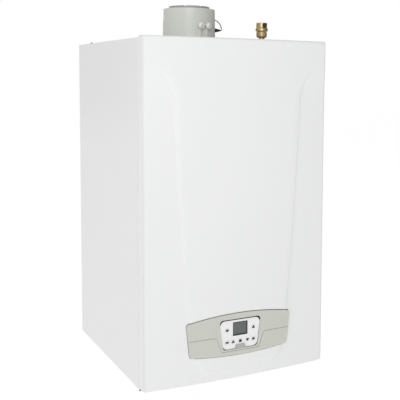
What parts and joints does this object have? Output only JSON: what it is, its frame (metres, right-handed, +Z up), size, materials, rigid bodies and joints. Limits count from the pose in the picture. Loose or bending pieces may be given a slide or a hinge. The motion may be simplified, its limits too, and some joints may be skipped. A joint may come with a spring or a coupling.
{
  "type": "condensing boiler",
  "caption": "Wall-hung condensing boiler: a white casing with a bowed front, a grey control fascia low down, and a coaxial flue adapter and a brass air vent on the lid.",
  "frame": {"origin": "centre of the wall bracket's back face, on the wall's plane and the casing's centreline", "axes": "+X to the right seen from the front, +Y towards the wall, +Z up"},
  "size_m": [0.45, 0.507, 0.8785],
  "materials": {
    "white_enamel": "smooth satin powder coat",
    "galvanised_sheet": "zinc-coated steel sheet",
    "grey_fascia": "fine moulded texture",
    "white_plastic": "smooth satin",
    "grey_plastic": "moulded polypropylene",
    "dark_display": "clear cover over an unlit display",
    "black_plastic": "moulded",
    "black_rubber": "matt",
    "brass": "turned",
    "copper": "drawn tube",
    "stainless": "formed sheet",
    "cast_aluminium": "as cast",
    "green_board": "solder mask",
    "grey_foam": "closed-cell foam",
    "ceramic": "glazed insulator on a steel pin",
    "zinc": "zinc plated"
  },
  "bodies": {
    "casing_body": {"side_panel_left": "white_enamel", "side_panel_right": "white_enamel", "rear_frame": "galvanised_sheet", "wall_bracket": "zinc", "top_plate": "galvanised_sheet", "bottom_plate": "galvanised_sheet", "panel_gasket": "grey_foam", "fascia": "grey_fascia", "keypad_plate": "white_plastic", "display_window": "dark_display", "display_module": "black_plastic", "switch_board": "green_board", "keypad_tab": "grey_fascia", "control_box": "black_plastic", "control_box_cover": "black_plastic", "control_board": "green_board", "flue_adapter": "grey_plastic", "flue_inner_socket": "grey_plastic", "flue_lip_seal": "black_rubber", "flue_pipe": "grey_plastic", "flue_sensor_boot": "black_rubber", "flue_sensor_lead": "black_rubber", "lead_grommet": "black_rubber", "air_vent_body": "brass", "vent_riser": "copper", "vent_grommet": "black_rubber", "heat_exchanger": "stainless", "burner_door": "cast_aluminium", "burner_tube": "stainless", "spark_electrode": "ceramic", "fan_housing": "cast_aluminium", "fan_motor": "black_plastic", "mixer": "cast_aluminium", "air_silencer": "black_plastic", "mixture_duct": "cast_aluminium", "gas_valve": "cast_aluminium", "gas_inlet_pipe": "copper", "gas_feed_pipe": "copper", "flow_pipe": "copper", "return_pipe": "copper", "pressure_sensor": "black_plastic", "flue_collector": "grey_plastic", "condensate_trap": "grey_plastic", "condensate_hose": "black_rubber", "drum_rail_left": "galvanised_sheet", "drum_rail_right": "galvanised_sheet"},
    "front_panel_body": {"front_panel": "white_enamel", "panel_screw_left": "zinc", "panel_screw_right": "zinc"},
    "air_vent_cap_body": {"air_vent_cap": "black_plastic"},
    "test_cap_left_body": {"test_cap_left": "white_plastic"},
    "test_cap_right_body": {"test_cap_right": "white_plastic"},
    "fan_wheel_body": {"fan_wheel": "cast_aluminium"},
    "key_left_body": {"key_left": "white_plastic"},
    "key_right_body": {"key_right": "white_plastic"},
    "key_menu_1_body": {"key_menu_1": "white_plastic"},
    "key_menu_2_body": {"key_menu_2": "white_plastic"},
    "key_menu_3_body": {"key_menu_3": "white_plastic"},
    "key_menu_4_body": {"key_menu_4": "white_plastic"},
    "key_menu_5_body": {"key_menu_5": "white_plastic"}
  },
  "joints": [
    {"name": "front_panel_tilt", "type": "hinge", "parent": "casing_body", "child": "front_panel_body", "pos_m": [0, -0.468, 0.0465], "axis": [-1, 0, 0], "range_deg": [0, 30]},
    {"name": "key_left_press", "type": "slide", "parent": "casing_body", "child": "key_left_body", "axis": [0, 1, 0], "range_m": [0, 0.0008], "stiffness_N_per_m": 300},
    {"name": "key_right_press", "type": "slide", "parent": "casing_body", "child": "key_right_body", "axis": [0, 1, 0], "range_m": [0, 0.0008], "stiffness_N_per_m": 300},
    {"name": "key_menu_1_press", "type": "slide", "parent": "casing_body", "child": "key_menu_1_body", "axis": [0, 1, 0], "range_m": [0, 0.0008], "stiffness_N_per_m": 300},
    {"name": "key_menu_2_press", "type": "slide", "parent": "casing_body", "child": "key_menu_2_body", "axis": [0, 1, 0], "range_m": [0, 0.0008], "stiffness_N_per_m": 300},
    {"name": "key_menu_3_press", "type": "slide", "parent": "casing_body", "child": "key_menu_3_body", "axis": [0, 1, 0], "range_m": [0, 0.0008], "stiffness_N_per_m": 300},
    {"name": "key_menu_4_press", "type": "slide", "parent": "casing_body", "child": "key_menu_4_body", "axis": [0, 1, 0], "range_m": [0, 0.0008], "stiffness_N_per_m": 300},
    {"name": "key_menu_5_press", "type": "slide", "parent": "casing_body", "child": "key_menu_5_body", "axis": [0, 1, 0], "range_m": [0, 0.0008], "stiffness_N_per_m": 300},
    {"name": "air_vent_cap_turn", "type": "hinge", "parent": "casing_body", "child": "air_vent_cap_body", "pos_m": [0.1485, -0.3276, 0.0915], "axis": [0, -1, 0], "range_deg": [0, 360]},
    {"name": "test_cap_left_turn", "type": "hinge", "parent": "casing_body", "child": "test_cap_left_body", "pos_m": [0.00233, -0.27426, 0.087], "axis": [0.0332, -0.9995, 0], "range_deg": [0, 360]},
    {"name": "test_cap_right_turn", "type": "hinge", "parent": "casing_body", "child": "test_cap_right_body", "pos_m": [0.02277, -0.27051, 0.087], "axis": [0.3239, -0.9461, 0], "range_deg": [0, 360]},
    {"name": "fan_wheel_spin", "type": "hinge", "parent": "casing_body", "child": "fan_wheel_body", "pos_m": [-0.095, -0.3795, -0.0795], "axis": [0, 1, 0], "continuous": true}
  ]
}
